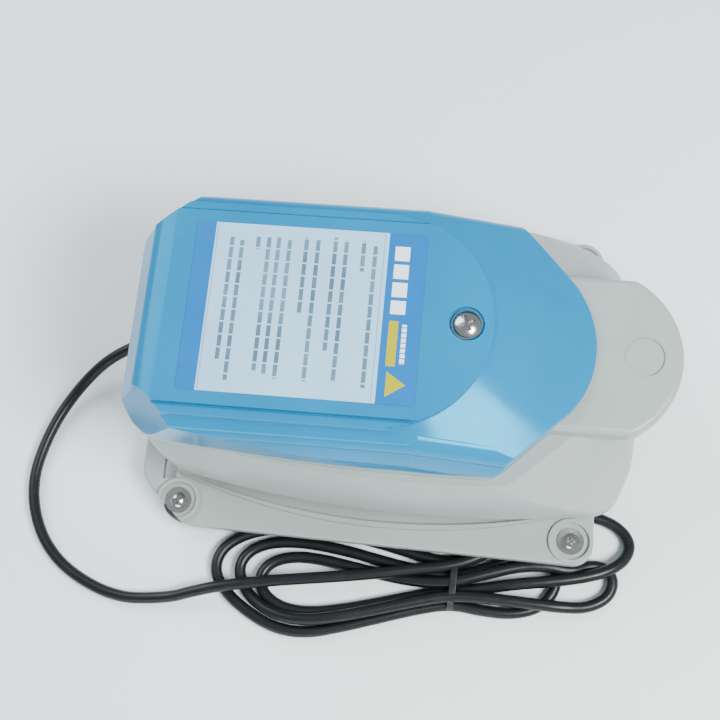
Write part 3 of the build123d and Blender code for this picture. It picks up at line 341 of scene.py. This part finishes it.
def label_material():
    """Printed film: pale field, blue ends, rows of plain dashes and plain patches."""
    m = Nodes("label", LABEL_PALE, 0.34, Specular_IOR_Level=0.25, Specular_Tint=LABEL_TINT)
    x, y = m.axis("X"), m.axis("Y")

    def between(value, low, high):
        over = m.math("GREATER_THAN", value, low * MM)
        return m.math("MULTIPLY", over, m.math("LESS_THAN", value, high * MM))

    def box(x0, x1, y0, y1):
        return m.math("MULTIPLY", between(x, x0, x1), between(y, y0, y1))

    def dashes(pitch, gap, shift):
        """Stripes across y: the gap and the shift are shares of the pitch."""
        step = m.math("FRACT", m.math("ADD", m.math("DIVIDE", y, pitch * MM), 100.0 + shift))
        return m.math("GREATER_THAN", step, gap)

    drift = m.span(m.noise(35, 3), 0.35, 0.7)
    field = m.mix(drift, shade(LABEL_PALE, 0.96), shade(LABEL_PALE, 1.04))
    rear_end = m.math("LESS_THAN", x, FIELD_X[0] * MM)
    ends = m.math("MAXIMUM", rear_end, m.math("GREATER_THAN", x, FIELD_X[1] * MM))
    base = m.mix(ends, field, m.mix(m.noise(60), shade(LABEL_BLUE, 0.9), shade(LABEL_BLUE, 1.1)))
    ink = None
    for at, low, high in BARS:
        bar = box(at - BAR_HALF, at + BAR_HALF, low, high)
        ink = bar if ink is None else m.math("MAXIMUM", ink, bar)
    ink = m.math("MULTIPLY", ink, dashes(5.3, 0.12, 0.3))
    worn = m.span(m.noise(60, 2), 0.35, 0.65, 0.66, 0.82)
    base = m.mix(m.math("MULTIPLY", ink, worn), base, INK)
    rule = m.math("MAXIMUM", box(*RULES[0]), box(*RULES[1]))
    base = m.mix(m.math("MULTIPLY", rule, 0.5), base, LABEL_BLUE)
    head = m.math("MULTIPLY", box(*SQUARES), dashes(7.6, 0.2, 0.09))
    line = m.math("MULTIPLY", box(*SHORT_ROW), dashes(2.1, 0.2, 0.0))
    base = m.mix(m.math("MAXIMUM", head, line), base, PAPER)
    base = m.mix(box(*PATCH), base, YELLOW)
    reach = m.math("MULTIPLY", m.math("SUBTRACT", SIGN_TIP_X * MM, x), SIGN_SPREAD)
    off = m.math("ABSOLUTE", m.math("SUBTRACT", y, SIGN_Y * MM))
    past_foot = m.math("GREATER_THAN", x, SIGN_FOOT_X * MM)
    base = m.mix(m.math("MULTIPLY", m.math("LESS_THAN", off, reach), past_foot), base, YELLOW)
    m.color(base)
    m.rough(m.span(m.noise(90, 4), 0.3, 0.7, 0.28, 0.42))
    m.bump(m.noise(700, 2), 0.006)
    return m.mat


def shell_material(name, color, rough):
    """Grey moulded shell, satin, with a faint spark-eroded grain."""
    return moulded(name, color, rough, 1500, 0.022, 0.045, Specular_IOR_Level=0.5).mat


def copper_material():
    """Enamelled wire wound in close turns."""
    color = (0.52, 0.20, 0.07)
    m = Nodes("copper", color, 0.32, 0.85, Coat_Weight=0.5)
    turns = m.wave(650, "Y")
    m.color(m.mix(turns, shade(color, 0.45), shade(color, 1.2)))
    m.bump(turns, 0.12)
    return m.mat


RUST = (0.20, 0.11, 0.06)


def steel_stack():
    """Pressed laminations with thin dark joints."""
    color = (0.36, 0.37, 0.39)
    m = Nodes("laminations", color, 0.42, 0.9)
    sheets = m.wave(640, "Z")
    rust = m.noise(210, 5, 0.7)
    stack = m.mix(sheets, shade(color, 0.5), color)
    m.color(m.mix(m.span(rust, 0.6, 0.78), stack, RUST))
    m.bump(sheets, 0.06)
    return m.mat


def felt_material():
    """White filter felt: matted fibres."""
    color = (0.60, 0.59, 0.55)
    m = Nodes("felt", color, 0.95, Sheen_Weight=0.5, Sheen_Roughness=0.6)
    fibre = m.noise(900, 6, 0.8, m.stretch(1, 0.4, 1))
    tuft = m.cells(420)
    m.color(m.mix(m.span(fibre, 0.35, 0.7), shade(color, 0.72), shade(color, 1.1)))
    m.bump(m.math("ADD", fibre, m.math("MULTIPLY", tuft, 0.6)), 0.5)
    return m.mat


MATERIALS = {
    "shell_grey": shell_material("shell_grey", GREY, 0.36),
    "tray_grey": shell_material("tray_grey", shade(GREY, 0.98), 0.34),
    "cover_blue": cover_material(),
    "label": label_material(),
    "bright_screw": plated("bright_screw", (0.50, 0.49, 0.47), 0.16).mat,
    "zinc_screw": plated("zinc_screw", (0.60, 0.60, 0.58), 0.34).mat,
    "soft_rubber": rubbery("soft_rubber", (0.035, 0.035, 0.036), 0.6).mat,
    "felt": felt_material(),
    "frame_plastic": moulded("frame_plastic", (0.055, 0.055, 0.06), 0.5, 900, 0.04).mat,
    "laminations": steel_stack(),
    "bobbin_plastic": moulded("bobbin_plastic", (0.70, 0.64, 0.46), 0.42).mat,
    "copper": copper_material(),
    "shuttle_metal": plated("shuttle_metal", (0.66, 0.67, 0.68), 0.36).mat,
    "magnet": moulded("magnet", (0.06, 0.06, 0.065), 0.45, 700, 0.05, 0.2).mat,
    "disc_metal": plated("disc_metal", (0.70, 0.71, 0.72), 0.3).mat,
    "head_plastic": moulded("head_plastic", (0.08, 0.085, 0.09), 0.46, 1000, 0.03).mat,
    "flap_rubber": rubbery("flap_rubber", (0.20, 0.05, 0.03), 0.55).mat,
    "hose_rubber": rubbery("hose_rubber", (0.022, 0.022, 0.022), 0.5).mat,
    "nozzle_grey": moulded("nozzle_grey", (0.42, 0.45, 0.45), 0.4).mat,
    "terminal": moulded("terminal", (0.78, 0.76, 0.68), 0.38).mat,
    "lead_sheath": moulded("lead_sheath", (0.03, 0.06, 0.34), 0.4).mat,
    "cord_black": rubbery("cord_black", (0.006, 0.0075, 0.009), 0.34, 2200, 0.02, 0.2).mat,
    "tie_black": moulded("tie_black", (0.005, 0.005, 0.006), 0.34, 1600, 0.03).mat,
    "plug_black": moulded("plug_black", (0.016, 0.016, 0.017), 0.42, 1100, 0.04).mat,
    "blade_brass": plated("blade_brass", (0.72, 0.58, 0.30), 0.26).mat,
    "foot_rubber": rubbery("foot_rubber", (0.04, 0.04, 0.04), 0.62).mat,
}

cord_line.data.materials.append(MATERIALS["cord_black"])
for row in frame["record"]["subparts"]:
    obj = nodes[row["node"]]
    for mesh_slot in obj.material_slots:
        mesh_slot.material = MATERIALS[row["material_slot"]]


# ---------------------------------------------------------------- made pieces
def add_object(name, data, body, slot):
    """Link a made piece and give it its body, slot and material."""
    obj = bpy.data.objects.new(name, data)
    bpy.context.scene.collection.objects.link(obj)
    data.materials.append(MATERIALS[slot])
    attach(obj, body)
    return obj


def mesh_of(name, points, faces, smooth=True):
    """Mesh from points in millimetres."""
    data = bpy.data.meshes.new(name)
    data.from_pydata([(x * MM, y * MM, z * MM) for x, y, z in points], [], faces)
    data.update()
    for face in data.polygons:
        face.use_smooth = smooth
    return data


def tie_band():
    """Thin strap pulled round the waist of the hank."""
    ring = [
        (-75.4, 2.2), (-75.3, 5.4), (-77.4, 9.0), (-81.2, 10.55), (-86.8, 10.3), (-92.4, 10.1),
        (-96.2, 8.2), (-98.4, 5.0), (-98.3, 1.9), (-96.0, 0.3), (-87.0, 0.25), (-78.0, 0.3),
    ]
    mid_y = sum(y for y, _ in ring) / len(ring)
    mid_z = sum(z for _, z in ring) / len(ring)
    half, thick = 1.5, 0.7
    lean = 0.05             # the strap lies a little across the cords
    section = [(-half, 0.0), (-half, -thick), (half, -thick), (half, 0.0)]
    points, faces = [], []
    for y, z in ring:
        out = Vector((y - mid_y, z - mid_z)).normalized()
        for dx, d in section:
            points.append((TIE_X + dx + (y - mid_y) * lean, y + out.x * d, z + out.y * d))
    n, k = len(ring), len(section)
    for i in range(n):
        for j in range(k):
            a, b = i * k + j, i * k + (j + 1) % k
            c, d = ((i + 1) % n) * k + (j + 1) % k, ((i + 1) % n) * k + j
            faces.append((a, d, c, b))
    data = mesh_of("tie_band", points, faces)
    obj = add_object("tie_band", data, "base", "tie_black")
    bevel = obj.modifiers.new("round", "BEVEL")
    bevel.width = 0.25 * MM
    bevel.segments = 2
    smooth = obj.modifiers.new("smooth", "SUBSURF")
    smooth.levels = smooth.render_levels = 2
    return obj


def felt_pad():
    """Filter felt as a soft slab with round edges and a matted surface, inside its seat."""
    trim = 0.6 * MM
    edge_radius = 1.6 * MM
    fluff = 0.22 * MM
    low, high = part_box("filter_pad")
    data = bpy.data.meshes.new("felt_pad")
    bm = bmesh.new()
    bmesh.ops.create_cube(bm, size=1.0)
    for v in bm.verts:
        for k in range(3):
            v.co[k] = (low[k] + high[k]) / 2 + v.co[k] * (high[k] - low[k] - trim)
    bmesh.ops.bevel(
        bm, geom=bm.edges[:], offset=edge_radius, segments=3, profile=0.5, affect="EDGES"
    )
    bmesh.ops.subdivide_edges(bm, edges=bm.edges[:], cuts=5, use_grid_fill=True)
    for v in bm.verts:
        n = noise.noise(v.co * 420) + 0.6 * noise.noise(v.co * 1100)
        v.co += v.normal * n * fluff
        v.co.z = max(v.co.z, low.z + 0.1 * MM)
    bm.to_mesh(data)
    bm.free()
    for face in data.polygons:
        face.use_smooth = True
    return add_object("felt_pad", data, "filter", "felt")


band = tie_band()
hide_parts("cord_tie")
pad = felt_pad()
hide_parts("filter_pad")


# ---------------------------------------------------------------- floor and light
def stage_material():
    """Plain pale floor with a very faint drift."""
    m = Nodes("floor", (0.84, 0.90, 0.92), 0.6)
    m.color(m.mix(m.span(m.noise(3, 2), 0.3, 0.7), (0.82, 0.89, 0.915), (0.86, 0.915, 0.93)))
    m.bump(m.noise(300, 2), 0.01)
    return m.mat


def area_light(name, place, aim, size, power, color):
    """Soft rectangular light turned towards a point."""
    data = bpy.data.lights.new(name, "AREA")
    data.shape = "RECTANGLE"
    data.size, data.size_y = size
    data.energy = power
    data.color = color
    lamp = bpy.data.objects.new(name, data)
    lamp.location = place
    lamp.rotation_mode = "QUATERNION"
    lamp.rotation_quaternion = (Vector(aim) - Vector(place)).to_track_quat("-Z", "Y")
    bpy.context.scene.collection.objects.link(lamp)


FLOOR_HALF = 3.0
FLOOR_DROP = 0.2 * MM
floor_data = bpy.data.meshes.new("floor")
corners = [(x * FLOOR_HALF, y * FLOOR_HALF, 0) for x, y in ((-1, -1), (1, -1), (1, 1), (-1, 1))]
floor_data.from_pydata(corners, [], [(0, 1, 2, 3)])
floor = bpy.data.objects.new("floor", floor_data)
floor.location = (0, 0, -FLOOR_DROP)
floor_data.materials.append(stage_material())
bpy.context.scene.collection.objects.link(floor)

world = bpy.data.worlds.new("studio")
bpy.context.scene.world = world
world.use_nodes = True
backdrop = world.node_tree.nodes["Background"]
backdrop.inputs["Color"].default_value = (0.86, 0.93, 1.0, 1.0)
backdrop.inputs["Strength"].default_value = 0.6
# name, place, aim, size (metres), power (watts), colour
LIGHTS = [
    ("key", (0.46, -0.27, 0.74), (0.03, 0, 0.06), (0.42, 0.30), 15.5, (1.0, 0.99, 0.97)),
    ("near_strip", (-0.16, -0.95, 0.30), (-0.04, 0, 0.07), (0.75, 0.06), 2.6, (0.96, 0.98, 1.0)),
    ("sky", (-0.75, 0.55, 0.85), (0, 0, 0.05), (0.9, 0.9), 15.0, (0.92, 0.97, 1.0)),
]
for light in LIGHTS:
    area_light(*light)
